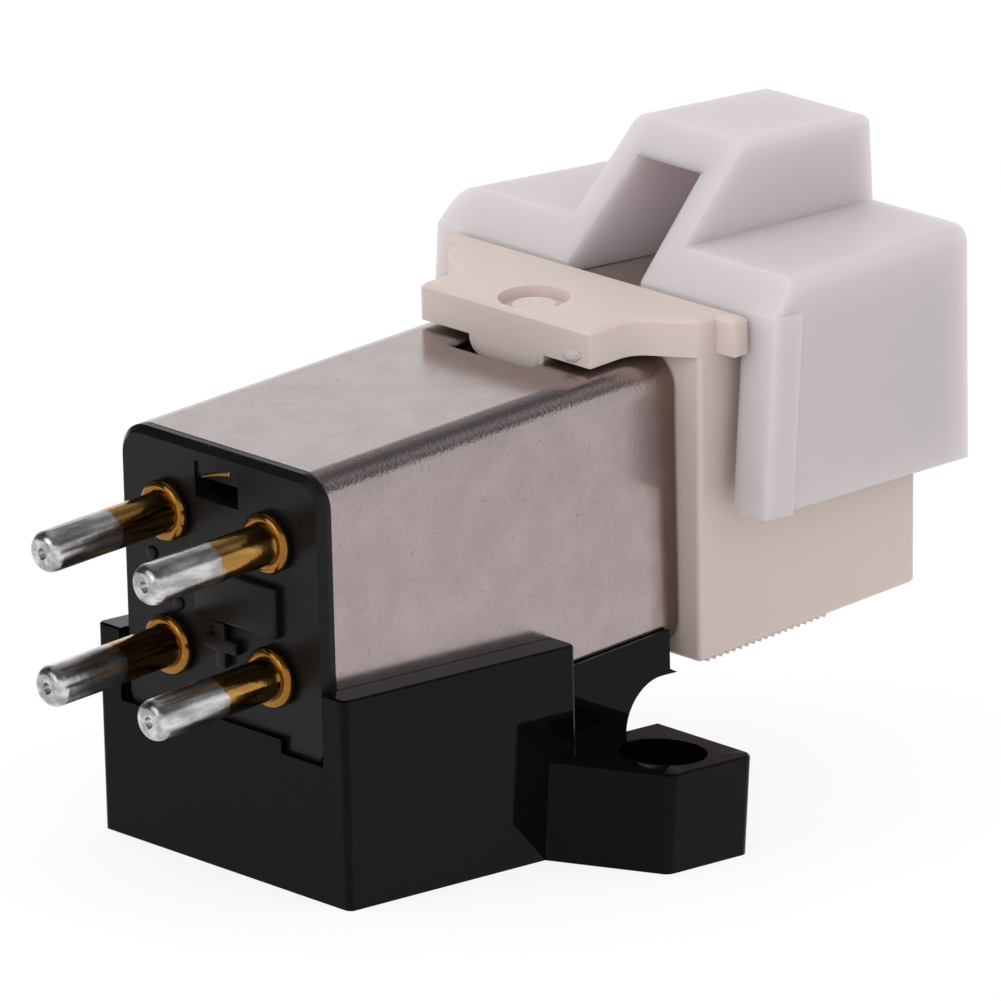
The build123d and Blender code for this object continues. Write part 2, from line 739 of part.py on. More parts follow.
# Stylus guard: wings and flaps over the holder, and a tunnel over the cantilever
guard_nose = at_height(guard_front, flap_floor)[0]
roof_front = at_height(guard_front, roof_level)[0]
cut_floor = wing_floor + cut_rise
roof_rear = guard_rear + roof_setback
tunnel_end = at_height(guard_front - front_wall, tunnel_level)[0]
with BuildPart() as stylus_guard:
    for guard_y, hood_width, hood_level in (
        (guard_rear, guard_rear_width, wing_level),
        (guard_nose, guard_front_width, wing_level + wing_climb),
    ):
        with BuildSketch(upright(guard_y)) as hood_sketch:
            with Locations((0, flap_floor)):
                Rectangle(hood_width, hood_level - flap_floor, align=(Align.CENTER, Align.MIN))
            fillet(hood_sketch.vertices().group_by(Axis.Y)[-1], guard_edge_round)
    loft()
    with BuildSketch(upright(guard_rear)) as roof_sketch:
        with BuildLine():
            Polyline(
                (-roof_foot_width / 2, wing_floor),
                (-roof_width / 2, roof_level),
                (roof_width / 2, roof_level),
                (roof_foot_width / 2, wing_floor),
                close=True,
            )
        make_face()
        fillet(roof_sketch.vertices().group_by(Axis.Y)[-1], roof_round)
    extrude(amount=guard_rear - guard_nose)
    with BuildSketch(Plane.YZ):
        with BuildLine():
            FilletPolyline(
                (guard_rear, flap_floor),
                (guard_rear, cut_floor),
                (roof_rear, roof_level),
                (roof_front, roof_level),
                (guard_nose, flap_floor),
                close=True,
                radius=(0, guard_crease, guard_crease, guard_crease, 0),
            )
        make_face()
    extrude(amount=guard_rear_width, both=True, mode=Mode.INTERSECT)
    with BuildSketch(Plane.YZ):
        with BuildLine():
            Polyline(
                (guard_rear - post_length, 0),
                at_height(guard_front - front_wall, 0),
                at_height(guard_front - front_wall, wing_floor),
                (guard_rear - post_length, wing_floor),
                close=True,
            )
        make_face()
    extrude(amount=shelf_width / 2 + guard_gap, both=True, mode=Mode.SUBTRACT)
    with BuildSketch(upright(guard_rear)):
        with BuildLine():
            Polyline(
                (-tunnel_foot_width / 2, wing_floor),
                (-tunnel_top_width / 2, tunnel_level),
                (tunnel_top_width / 2, tunnel_level),
                (tunnel_foot_width / 2, wing_floor),
                close=True,
            )
        make_face()
    extrude(amount=guard_rear - tunnel_end, mode=Mode.SUBTRACT)
    post_middle = guard_rear_width / 2 + post_proud / 2 - post_thickness / 2
    with BuildSketch(Plane.XY.offset(flap_floor - post_drop)):
        with Locations((-post_middle, guard_rear + post_length / 2), (post_middle, guard_rear + post_length / 2)):
            RectangleRounded(post_thickness, post_length, post_proud)
    extrude(amount=cut_floor - flap_floor + post_drop)
stylus_guard.part.label = "stylus_guard"
export_step(stylus_guard.part, "parts/stylus_guard.step")
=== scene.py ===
# %% [markdown]
# # A turntable cartridge on a white table
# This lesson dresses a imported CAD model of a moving-magnet cartridge for its picture.
# The CAD gives every size, and each piece stays where the CAD has it. Only the edges of one
# notch are moved a little. We add the softness of moulded edges, the turned pins, small mould
# marks, and the finish of each material.

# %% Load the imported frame
import json
from math import cos, pi, radians, sin

import bmesh
import bpy
from mathutils import Matrix, Vector, noise


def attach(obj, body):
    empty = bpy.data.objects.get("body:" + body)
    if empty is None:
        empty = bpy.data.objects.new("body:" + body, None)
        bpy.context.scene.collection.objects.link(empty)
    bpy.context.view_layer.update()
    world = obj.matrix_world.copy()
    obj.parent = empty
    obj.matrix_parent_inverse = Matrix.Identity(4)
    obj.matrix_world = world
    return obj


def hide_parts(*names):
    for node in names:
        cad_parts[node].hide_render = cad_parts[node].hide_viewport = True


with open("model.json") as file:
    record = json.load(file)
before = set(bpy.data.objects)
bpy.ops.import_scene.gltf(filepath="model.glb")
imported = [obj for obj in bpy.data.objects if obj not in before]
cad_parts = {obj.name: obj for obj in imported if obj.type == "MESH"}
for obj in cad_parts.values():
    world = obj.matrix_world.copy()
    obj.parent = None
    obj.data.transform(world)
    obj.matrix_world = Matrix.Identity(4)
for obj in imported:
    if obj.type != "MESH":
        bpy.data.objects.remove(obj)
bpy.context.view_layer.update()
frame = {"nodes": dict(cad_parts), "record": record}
scene = bpy.context.scene
scene.view_settings.view_transform = "Standard"

# %% [markdown]
# ## The can's own directions
# The can leans a little, so its details are placed along its own directions and not along the
# room's. The record says where the four pins end and which way they point, and that is enough:
# the middle of their feet lies on the terminal plate's back face.

# %% Directions
X_AXIS = Vector((1, 0, 0))
# The straight part of a pin stops this far, in mm, from the plate's back face.
COLLAR_FACE = 0.22
pin_ends = [mount for mount in frame["record"]["mounts"] if mount["kind"] == "pin"]
forward = -Vector(pin_ends[0]["axis"])
upward = X_AXIS.cross(forward)
pin_length = pin_ends[0]["dims"]["length_mm"]
feet = [Vector(end["pos_m"]) + forward * (pin_length / 2 + COLLAR_FACE) / 1000 for end in pin_ends]
plate_middle = sum(feet, Vector()) / len(feet)
back_face = plate_middle.dot(forward) * 1000


def on_plate(x, h, out):
    """A point by its distances in mm from the middle of the four pins: across, up and out of the plate."""
    return plate_middle + (X_AXIS * x + upward * h - forward * out) / 1000


print("plate's middle in mm", [round(value * 1000, 2) for value in plate_middle])

# %% [markdown]
# ## The camera
# A picture of something this small is taken from far off with a long lens, so parallel edges
# stay almost parallel. We could aim the camera with a constraint, but three plain angles are
# easier to check: how far round, how far up, and how far the picture is rolled.
# The lens comes from the distance, because the two together set the size in the frame.

# %% Camera
PICTURE_SIDE = 1001
FOCAL_PIXELS = 12410.3
SENSOR_MM = 36
CAMERA_PLACE = (0.23720, -0.24672, 0.10600)
ROUND_ANGLE = 0.7667365
UP_ANGLE = 0.2763672
ROLL = 0.0441005
back = Vector((sin(ROUND_ANGLE) * cos(UP_ANGLE), -cos(ROUND_ANGLE) * cos(UP_ANGLE), sin(UP_ANGLE)))
level_right = Vector((cos(ROUND_ANGLE), sin(ROUND_ANGLE), 0))
level_up = back.cross(level_right)
right = cos(ROLL) * level_right + sin(ROLL) * level_up
up = -sin(ROLL) * level_right + cos(ROLL) * level_up
camera_data = bpy.data.cameras.new("picture_camera")
camera_data.sensor_width = SENSOR_MM
camera_data.lens = FOCAL_PIXELS / PICTURE_SIDE * camera_data.sensor_width
camera_data.clip_start = 0.01
camera = bpy.data.objects.new("picture_camera", camera_data)
scene.collection.objects.link(camera)
camera_turn = Matrix((right, up, back)).transposed().to_4x4()
camera.matrix_world = Matrix.Translation(CAMERA_PLACE) @ camera_turn
scene.camera = camera
print("lens in mm", round(camera_data.lens, 1))

# %% [markdown]
# ## The white table and the light
# The picture has a pure white ground. More light would bleach the object, so the table itself
# is made white where the camera, a mirror or clear plastic looks at it: most of it glows there,
# and the rest is a plain painted surface that still takes the object's shadow.

# %% White table
def new_node(tree, kind, **settings):
    """One node with its settings and its constant inputs."""
    node = tree.nodes.new(kind)
    for name, value in settings.items():
        if name in node.inputs:
            node.inputs[name].default_value = value
        else:
            setattr(node, name, value)
    return node


def picture_rays(tree):
    """1 for rays from the camera, from mirrors and through clear plastic, 0 for the rest."""
    path = new_node(tree, "ShaderNodeLightPath")
    either = new_node(tree, "ShaderNodeMath", operation="MAXIMUM")
    any_of = new_node(tree, "ShaderNodeMath", operation="MAXIMUM")
    tree.links.new(path.outputs["Is Camera Ray"], either.inputs[0])
    tree.links.new(path.outputs["Is Glossy Ray"], either.inputs[1])
    tree.links.new(either.outputs[0], any_of.inputs[0])
    tree.links.new(path.outputs["Is Transmission Ray"], any_of.inputs[1])
    return any_of.outputs[0]


TABLE_HALF = 3
table_paint = bpy.data.materials.new("white_table")
table_paint.use_nodes = True
tree = table_paint.node_tree
tree.nodes.clear()
plain = new_node(tree, "ShaderNodeBsdfDiffuse", Color=(0.88, 0.88, 0.88, 1))
shadow_taker = new_node(tree, "ShaderNodeBsdfDiffuse", Color=(0.2, 0.2, 0.2, 1))
glow = new_node(tree, "ShaderNodeEmission", Color=(1, 1, 1, 1), Strength=0.82)
both = new_node(tree, "ShaderNodeAddShader")
choice = new_node(tree, "ShaderNodeMixShader")
surface = new_node(tree, "ShaderNodeOutputMaterial")
tree.links.new(shadow_taker.outputs[0], both.inputs[0])
tree.links.new(glow.outputs[0], both.inputs[1])
tree.links.new(picture_rays(tree), choice.inputs[0])
tree.links.new(plain.outputs[0], choice.inputs[1])
tree.links.new(both.outputs[0], choice.inputs[2])
tree.links.new(choice.outputs[0], surface.inputs[0])

table_mesh = bpy.data.meshes.new("white_table")
table_corners = [(-TABLE_HALF, -TABLE_HALF, 0), (TABLE_HALF, -TABLE_HALF, 0),
                 (TABLE_HALF, TABLE_HALF, 0), (-TABLE_HALF, TABLE_HALF, 0)]
table_mesh.from_pydata(table_corners, [], [(0, 1, 2, 3)])
table_mesh.materials.append(table_paint)
table = bpy.data.objects.new("white_table", table_mesh)
scene.collection.objects.link(table)
print("table at height", table_mesh.vertices[0].co.z)

# %% [markdown]
# Polished metal looks flat when all round it is white. So mirrors get a room of their own, as a
# photographer would set it up: pale walls, a dim ceiling, one bright screen far off on the left,
# and a dark corner near on the left. The dim ceiling draws the dark line on the can's round edge,
# and a narrow strip of light in it lifts the grain there. The screen lifts the can's top, and the
# dark corner gives the pins' beads their shape.

# %% What mirrors see
room = bpy.data.worlds.new("studio_room")
scene.world = room
room.use_nodes = True
tree = room.node_tree
tree.nodes.clear()
direction = new_node(tree, "ShaderNodeTexCoord")


def screen(toward, start, end, low, high):
    """Soft-edged brightness, from the cosine of the angle to a direction, angles in degrees."""
    facing = new_node(tree, "ShaderNodeVectorMath", operation="DOT_PRODUCT")
    facing.inputs[1].default_value = Vector(toward).normalized()
    tree.links.new(direction.outputs["Generated"], facing.inputs[0])
    edge = new_node(tree, "ShaderNodeMapRange", interpolation_type="SMOOTHSTEP")
    edge.inputs["From Min"].default_value = cos(radians(start))
    edge.inputs["From Max"].default_value = cos(radians(end))
    edge.inputs["To Min"].default_value = low
    edge.inputs["To Max"].default_value = high
    tree.links.new(facing.outputs["Value"], edge.inputs["Value"])
    return edge.outputs["Result"]


walls = screen(toward=(0, 0, 1), start=64, end=55, low=1.0, high=0.17)
dark_corner = screen(toward=(-0.9, -0.45, 0.1), start=60, end=42, low=1.0, high=0.08)
bright_screen = screen(toward=(-0.75, 0.6, 0.38), start=42, end=22, low=0.0, high=0.20)
edge_strip = screen(toward=(0.27, 0.69, 0.67), start=15, end=3, low=0.0, high=0.32)
around = new_node(tree, "ShaderNodeMath", operation="MULTIPLY")
tree.links.new(walls, around.inputs[0])
tree.links.new(dark_corner, around.inputs[1])
screens = new_node(tree, "ShaderNodeMath", operation="ADD")
tree.links.new(bright_screen, screens.inputs[0])
tree.links.new(edge_strip, screens.inputs[1])
mirrored = new_node(tree, "ShaderNodeMath", operation="ADD")
tree.links.new(around.outputs[0], mirrored.inputs[0])
tree.links.new(screens.outputs[0], mirrored.inputs[1])
print("nodes for mirrors", len(tree.nodes))

# %% [markdown]
# Each kind of ray then gets its own room. The camera and clear plastic see plain white, mirrors
# see the room above, and all other rays bring an even, slightly warm light.

# %% Room
path = new_node(tree, "ShaderNodeLightPath")
soft_light = new_node(tree, "ShaderNodeBackground", Color=(1, 0.985, 0.975, 1), Strength=0.95)
studio = new_node(tree, "ShaderNodeBackground", Color=(0.98, 0.99, 1, 1))
white = new_node(tree, "ShaderNodeBackground", Color=(1, 1, 1, 1), Strength=1)
tree.links.new(mirrored.outputs[0], studio.inputs["Strength"])
mirror_choice = new_node(tree, "ShaderNodeMixShader")
tree.links.new(path.outputs["Is Glossy Ray"], mirror_choice.inputs[0])
tree.links.new(soft_light.outputs[0], mirror_choice.inputs[1])
tree.links.new(studio.outputs[0], mirror_choice.inputs[2])
clear = new_node(tree, "ShaderNodeMath", operation="MAXIMUM")
tree.links.new(path.outputs["Is Camera Ray"], clear.inputs[0])
tree.links.new(path.outputs["Is Transmission Ray"], clear.inputs[1])
view_choice = new_node(tree, "ShaderNodeMixShader")
tree.links.new(clear.outputs[0], view_choice.inputs[0])
tree.links.new(mirror_choice.outputs[0], view_choice.inputs[1])
tree.links.new(white.outputs[0], view_choice.inputs[2])
tree.links.new(view_choice.outputs[0], new_node(tree, "ShaderNodeOutputWorld").inputs[0])
print("room nodes", len(tree.nodes))

# %% [markdown]
# Two weak lamps join the even light of the room. One hangs high over the object and gives its
# upper faces a soft lead over its sides. The other stands behind the pins and draws the plate's
# rounded edges. Square area lamps are used, because a large lamp close by has soft shadows.

# %% Soft lamps
LAMP_AIM = Vector((0, 0, 0.008))


def soft_lamp(name, place, side, watts):
    """A square lamp that faces the object."""
    data = bpy.data.lights.new(name, "AREA")
    data.size = side
    data.energy = watts
    lamp = bpy.data.objects.new(name, data)
    scene.collection.objects.link(lamp)
    lamp.location = place
    lamp.rotation_euler = (LAMP_AIM - Vector(place)).to_track_quat("-Z", "Y").to_euler()


soft_lamp("lamp_over", place=(-0.12, 0.05, 0.40), side=0.35, watts=0.06)
soft_lamp("lamp_behind_pins", place=(-0.08, -0.42, 0.20), side=0.30, watts=0.42)

# %% [markdown]
# ## Finishes
# Every finish is a principled shader whose colour, roughness and surface are broken up by noise.
# The pattern is read in millimetres from the model's own coordinates, so it stays on the piece
# when the piece moves, and its grain has a real size. A painted image could do the same, but
# noise needs no unwrapping and never repeats.

# %% Shader bench
# A mix node has sockets for every kind of value, and its colours are at these numbers.
MIX_FIRST = 6
MIX_SECOND = 7
MIX_RESULT = 2


class Bench:
    """A material on the bench: a shader, and coordinates in millimetres."""

    def __init__(self, name, **settings):
        self.finish = bpy.data.materials.new(name)
        self.finish.use_nodes = True
        self.tree = self.finish.node_tree
        self.shader = self.tree.nodes["Principled BSDF"]
        for socket, value in settings.items():
            self.shader.inputs[socket.replace("_", " ")].default_value = value
        place = new_node(self.tree, "ShaderNodeTexCoord")
        self.millimetres = new_node(self.tree, "ShaderNodeVectorMath", operation="SCALE", Scale=1000.0)
        self.join(place.outputs["Object"], self.millimetres.inputs[0])
        self.bump = None

    def join(self, start, end):
        self.tree.links.new(start, end)

    def stretched(self, scale):
        """Coordinates squeezed along some axes, for streaks."""
        node = new_node(self.tree, "ShaderNodeVectorMath", operation="MULTIPLY")
        self.join(self.millimetres.outputs[0], node.inputs[0])
        node.inputs[1].default_value = scale
        return node.outputs[0]

    def noise(self, per_mm, detail=2.0, coordinates=None):
        node = new_node(self.tree, "ShaderNodeTexNoise", Scale=per_mm, Detail=detail)
        self.join(coordinates or self.millimetres.outputs[0], node.inputs["Vector"])
        return node.outputs["Fac"]

    def between(self, factor, low, high, start=0.3, end=0.7):
        """A factor spread over a range of values."""
        node = new_node(self.tree, "ShaderNodeMapRange")
        node.inputs["From Min"].default_value = start
        node.inputs["From Max"].default_value = end
        node.inputs["To Min"].default_value = low
        node.inputs["To Max"].default_value = high
        self.join(factor, node.inputs["Value"])
        return node.outputs["Result"]

    def blend(self, factor, first, second):
        """Two colours, or a colour and another blend, mixed by a factor."""
        node = new_node(self.tree, "ShaderNodeMix", data_type="RGBA")
        self.join(factor, node.inputs["Factor"])
        for socket, colour in ((node.inputs[MIX_FIRST], first), (node.inputs[MIX_SECOND], second)):
            if isinstance(colour, tuple):
                socket.default_value = (*colour, 1)
            else:
                self.join(colour, socket)
        return node.outputs[MIX_RESULT]

    def along_can(self, wander, per_mm):
        """Distance along the can's axis in mm, made to wander by noise."""
        run = new_node(self.tree, "ShaderNodeVectorMath", operation="DOT_PRODUCT")
        self.join(self.millimetres.outputs[0], run.inputs[0])
        run.inputs[1].default_value = forward
        total = new_node(self.tree, "ShaderNodeMath", operation="ADD")
        self.join(run.outputs["Value"], total.inputs[0])
        self.join(self.between(self.noise(per_mm), -wander, wander, 0.2, 0.8), total.inputs[1])
        return total.outputs[0]

    def on_round_edges(self, pattern):
        """A pattern kept only where the surface turns from the can's side to its top or floor."""
        facing = new_node(self.tree, "ShaderNodeTexCoord")
        kept = pattern
        for axis in (X_AXIS, upward):
            part = new_node(self.tree, "ShaderNodeVectorMath", operation="DOT_PRODUCT")
            self.join(facing.outputs["Normal"], part.inputs[0])
            part.inputs[1].default_value = axis
            size = new_node(self.tree, "ShaderNodeMath", operation="ABSOLUTE")
            self.join(part.outputs["Value"], size.inputs[0])
            product = new_node(self.tree, "ShaderNodeMath", operation="MULTIPLY")
            self.join(size.outputs[0], product.inputs[0])
            self.join(kept, product.inputs[1])
            kept = product.outputs[0]
        return kept

    def paint(self, colour):
        self.join(colour, self.shader.inputs["Base Color"])

    def rough(self, value):
        self.join(value, self.shader.inputs["Roughness"])

    def relief(self, height, depth_mm):
        """Adds a fine surface relief on top of any earlier one."""
        node = new_node(self.tree, "ShaderNodeBump", Strength=1.0, Distance=depth_mm / 1000)
        self.join(height, node.inputs["Height"])
        if self.bump:
            self.join(self.bump.outputs[0], node.inputs["Normal"])
        self.join(node.outputs[0], self.shader.inputs["Normal"])
        self.bump = node


finishes = {}
print("bench ready")

# %% [markdown]
# ### Black mouldings
# The base is glossy black plastic from a polished mould, and the terminal plate is the same
# plastic from a dull mould. Both keep faint flow marks and dust, which show as a slow change
# of gloss and a few pale specks.

# %% Black mouldings
def black_plastic(name, shade, gloss, index, grain):
    bench = Bench(name, IOR=index)
    flow = bench.noise(0.35, 3.0, bench.stretched((1, 0.4, 1)))
    dust = bench.between(bench.noise(7.0, 1.0), 0.0, 1.0, 0.74, 0.80)
    dark = bench.blend(flow, shade, tuple(value * 1.5 for value in shade))
    bench.paint(bench.blend(dust, dark, tuple(value * 5 for value in shade)))
    bench.rough(bench.between(flow, gloss * 0.75, gloss * 1.3))
    bench.relief(bench.noise(9.0, 2.0), grain)
    bench.relief(bench.noise(0.8, 1.0), grain * 3)
    finishes[name] = bench.finish


black_plastic("black_moulding", shade=(0.0018, 0.0017, 0.0018), gloss=0.05, index=1.175, grain=0.0003)
black_plastic("satin_black_moulding", shade=(0.0052, 0.0046, 0.0047), gloss=0.30, index=1.25, grain=0.002)
print("black plastics", list(finishes))

# %% [markdown]
# ### Ivory and milky mouldings
# The stylus holder is an opaque ivory plastic. Light goes a little way into it, which softens
# its shadows. The guard is the same kind of moulding without pigment: a milky plastic that
# scatters most of the light inside it and lets a little straight through.

# %% Ivory and milky mouldings
ivory = Bench("ivory_moulding", IOR=1.5, Specular_IOR_Level=0.35,
              Subsurface_Weight=0.25, Subsurface_Scale=0.0006)
ivory.shader.inputs["Subsurface Radius"].default_value = (1.0, 0.7, 0.5)
cloud = ivory.noise(0.25, 3.0)
ivory.paint(ivory.blend(cloud, (0.662, 0.562, 0.53), (0.632, 0.537, 0.505)))
ivory.rough(ivory.between(ivory.noise(1.6, 3.0), 0.36, 0.50))
ivory.relief(ivory.noise(12.0, 2.0), 0.002)
finishes["ivory_moulding"] = ivory.finish

milky = Bench("milky_moulding", IOR=1.45, Specular_IOR_Level=0.4, Transmission_Weight=0.2,
              Subsurface_Weight=1.0, Subsurface_Scale=0.0016)
milky.shader.inputs["Subsurface Radius"].default_value = (1.0, 0.95, 0.95)
haze = milky.noise(0.3, 3.0)
milky.paint(milky.blend(haze, (0.745, 0.682, 0.698), (0.715, 0.654, 0.670)))
milky.rough(milky.between(milky.noise(1.2, 3.0), 0.40, 0.52))
milky.relief(milky.noise(6.0, 2.0), 0.002)
finishes["milky_moulding"] = milky.finish
print("pale plastics", ivory.finish.name, milky.finish.name)

# %% [markdown]
# ### Nickel can
# The can is drawn from soft magnetic sheet and plated with nickel. The plating has a fine satin
# grain, slow clouds, dark specks and a few pits. Near its front edge a painted reflection of the
# holder's shaded back face turns the colour brown. The grain is a bump of a few thousandths of a
# millimetre, coarser on the round edges, where the sheet was stretched. It has to catch light point
# by point, and a rougher shader would only blur the can.

# %% Nickel can
CAN_FRONT = back_face + 14.13
PLATING_LIGHT = (0.395, 0.331, 0.326)
PLATING_DARK = (0.345, 0.287, 0.281)
# The brown of a painted reflection: the holder's shaded back face as the can mirrors it.
PAINTED_REFLECTION_BROWN = (0.19, 0.13, 0.10)
SPECK_GREY = (0.25, 0.205, 0.195)
PIT_GREY = (0.17, 0.14, 0.13)
nickel = Bench("nickel_can", Metallic=1.0)
patch = nickel.between(nickel.noise(0.7, 4.0), 0.0, 1.0, 0.3, 0.7)
# Painted reflection and shade: a brown band near the front edge, where the can mirrors the holder's shaded
# back face.
painted_holder_reflection = nickel.between(nickel.along_can(0.2, 1.2), 0.0, 0.75, CAN_FRONT - 1.25, CAN_FRONT - 0.45)
pit = nickel.between(nickel.noise(8.0, 0.0), 0.8, 0.0, 0.11, 0.16)
plating = nickel.blend(patch, PLATING_LIGHT, PLATING_DARK)
plating_with_painted_reflection = nickel.blend(painted_holder_reflection, plating, PAINTED_REFLECTION_BROWN)
pepper = nickel.between(nickel.noise(7.0, 2.0), 0.30, 0.0, 0.30, 0.42)
grainy = nickel.blend(pepper, plating_with_painted_reflection, SPECK_GREY)
nickel.paint(nickel.blend(pit, grainy, PIT_GREY))
nickel.rough(nickel.between(nickel.noise(2.0, 3.0), 0.17, 0.22))
nickel.relief(nickel.noise(14.0, 2.0), 0.002)
nickel.relief(nickel.on_round_edges(nickel.noise(11.0, 1.0)), 0.02)
finishes["nickel_can"] = nickel.finish
print("nickel", nickel.finish.name)

# %% [markdown]
# ### Plated pins
# Each pin is plated with gold, and its outer half is tinned where a clip holds it.
# The two metals meet at a wavy line square to the pin. The can's axis gives that line:
# the distance along it is a dot product, and noise makes the edge wander. Near the plate the
# gold is darkened by painted shade.

# %% Plated pins
TIN_LINE = back_face - 2.42
TIN_DARK = (0.34, 0.325, 0.325)
TIN_LIGHT = (0.68, 0.67, 0.67)
GOLD_DARK = (0.36, 0.18, 0.045)
GOLD_LIGHT = (0.52, 0.29, 0.085)
# The dark gold of the painted shade at the pins' feet.
GOLD_ROOT_PAINTED_SHADE = (0.25, 0.115, 0.02)
plated = Bench("plated_pin", Metallic=1.0)
golden = plated.between(plated.along_can(0.22, 1.6), 0.0, 1.0, TIN_LINE - 0.05, TIN_LINE + 0.05)
smear = plated.noise(3.0, 3.0, plated.stretched((1, 0.25, 1)))
streak = plated.between(smear, 0.0, 1.0, 0.42, 0.66)
tin = plated.blend(streak, TIN_DARK, TIN_LIGHT)
# Painted shade: the gold darkens towards the plate, standing in for shade and dark reflections at the pins'
# feet.
painted_root_shade = plated.between(plated.along_can(0.1, 4.0), 0.0, 1.0, back_face - 0.9, back_face - 0.25)
bright_gold = plated.blend(streak, GOLD_DARK, GOLD_LIGHT)
gold = plated.blend(painted_root_shade, bright_gold, GOLD_ROOT_PAINTED_SHADE)
plated.paint(plated.blend(golden, tin, gold))
dull_tin = plated.blend(smear, (0.17, 0.17, 0.17), (0.30, 0.30, 0.30))
polished_gold = plated.blend(smear, (0.10, 0.10, 0.10), (0.20, 0.20, 0.20))
plated.rough(plated.blend(golden, dull_tin, polished_gold))
plated.relief(plated.noise(4.0, 2.0), 0.006)
finishes["plated_pin"] = plated.finish
print("tin line at", round(TIN_LINE, 2), "mm along the can's axis")

# %% [markdown]
# ### Inner metals and the small parts
# The pieces inside are seen only when the stylus is pulled out, but they get the same care:
# wound copper shows its turns, stacked sheets show their edges, and a drawn tube shows draw lines.

# %% Inner metals
def metal(name, light, dark, roughness, per_mm, squeeze, relief):
    bench = Bench(name, Metallic=1.0)
    grain = bench.noise(per_mm, 3.0, bench.stretched(squeeze))
    bench.paint(bench.blend(grain, light, dark))
    bench.rough(bench.between(grain, roughness * 0.75, roughness * 1.3))
    bench.relief(grain, relief)
    finishes[name] = bench.finish


metal("brass_strip", light=(0.46, 0.28, 0.09), dark=(0.27, 0.155, 0.05),
      roughness=0.30, per_mm=5.0, squeeze=(1, 0.2, 1), relief=0.003)
metal("cantilever_alloy", light=(0.78, 0.79, 0.81), dark=(0.66, 0.67, 0.69),
      roughness=0.26, per_mm=9.0, squeeze=(1, 0.1, 0.2), relief=0.002)
metal("magnet_alloy", light=(0.34, 0.34, 0.35), dark=(0.24, 0.24, 0.25),
      roughness=0.42, per_mm=8.0, squeeze=(1, 1, 0.3), relief=0.004)
metal("steel_wire", light=(0.62, 0.62, 0.64), dark=(0.48, 0.48, 0.50),
      roughness=0.25, per_mm=12.0, squeeze=(1, 0.1, 0.2), relief=0.002)
metal("pole_alloy", light=(0.56, 0.55, 0.54), dark=(0.38, 0.37, 0.36),
      roughness=0.33, per_mm=7.0, squeeze=(6, 0.05, 0.05), relief=0.008)
print("inner metals", list(finishes)[-5:])

# %% [markdown]
# The winding's turns are too fine to model one by one, so a wave pattern draws them and lifts
# them a little. The bobbin is unpigmented plastic, the damper is dull black rubber, and the tip
# is a pale yellow diamond, which is clear with a high index.

# %% Winding, bobbin, rubber and diamond
winding = Bench("copper_winding", Metallic=0.9)
turns = new_node(winding.tree, "ShaderNodeTexWave", wave_type="BANDS", bands_direction="Y",
                 Scale=2.6, Distortion=0.4)
winding.join(winding.millimetres.outputs[0], turns.inputs["Vector"])
winding.paint(winding.blend(turns.outputs["Fac"], (0.25, 0.075, 0.03), (0.68, 0.26, 0.10)))
winding.rough(winding.between(winding.noise(4.0), 0.22, 0.38))
winding.relief(turns.outputs["Fac"], 0.03)
finishes["copper_winding"] = winding.finish

bobbin = Bench("bobbin_moulding", IOR=1.5, Subsurface_Weight=0.1, Subsurface_Scale=0.0005)
bobbin.paint(bobbin.blend(bobbin.noise(0.5, 3.0), (0.66, 0.64, 0.58), (0.58, 0.56, 0.50)))
bobbin.rough(bobbin.between(bobbin.noise(2.0), 0.45, 0.6))
bobbin.relief(bobbin.noise(10.0), 0.004)
finishes["bobbin_moulding"] = bobbin.finish

rubber = Bench("damper_rubber", IOR=1.5, Specular_IOR_Level=0.3)
rubber.paint(rubber.blend(rubber.noise(3.0, 3.0), (0.014, 0.014, 0.014), (0.028, 0.027, 0.026)))
rubber.rough(rubber.between(rubber.noise(6.0), 0.6, 0.8))
rubber.relief(rubber.noise(15.0), 0.006)
finishes["damper_rubber"] = rubber.finish

diamond = Bench("diamond_tip", IOR=2.4, Transmission_Weight=0.7)
diamond.paint(diamond.blend(diamond.noise(8.0), (0.85, 0.78, 0.58), (0.70, 0.62, 0.42)))
diamond.rough(diamond.between(diamond.noise(12.0), 0.04, 0.12))
finishes["diamond_tip"] = diamond.finish
print("finishes", len(finishes))

# %% [markdown]
# ### Dressing the CAD nodes
# The record already says which finish each node has. So the finishes are handed out by that list
# and none is set by hand, which keeps the picture and the record the same.

# %% Give every CAD node its finish
slot_of = {row["node"]: row["material_slot"] for row in frame["record"]["subparts"]}
for name, node in frame["nodes"].items():
    if not node.material_slots:
        node.data.materials.append(None)
    for place in node.material_slots:
        place.material = finishes[slot_of[name]]
print("dressed", len(slot_of))

# %% [markdown]
# ## Softened edges
# CAD edges are perfectly sharp, and no moulded or bent edge is. A sharp edge also catches no
# light. So the big visible pieces get a copy of their CAD shape, with flat triangles merged back
# into whole faces and a small rounding on every edge. The copy takes the CAD node's place.

# %% Softened copies
MERGE_DISTANCE = 2e-7
FLAT_DEGREES = 0.6
CREASE_DEGREES = 40
bodies = frame["record"]["behaviour"]["bodies"]
body_of = {node: body for body, nodes in bodies.items() for node in nodes}


def settle(piece):
    """Turns a piece's modifiers into plain mesh."""
    bpy.context.view_layer.update()
    done = bpy.data.meshes.new_from_object(piece.evaluated_get(bpy.context.evaluated_depsgraph_get()))
    piece.modifiers.clear()
    old = piece.data
    piece.data = done
    done.name = piece.name
    bpy.data.meshes.remove(old)


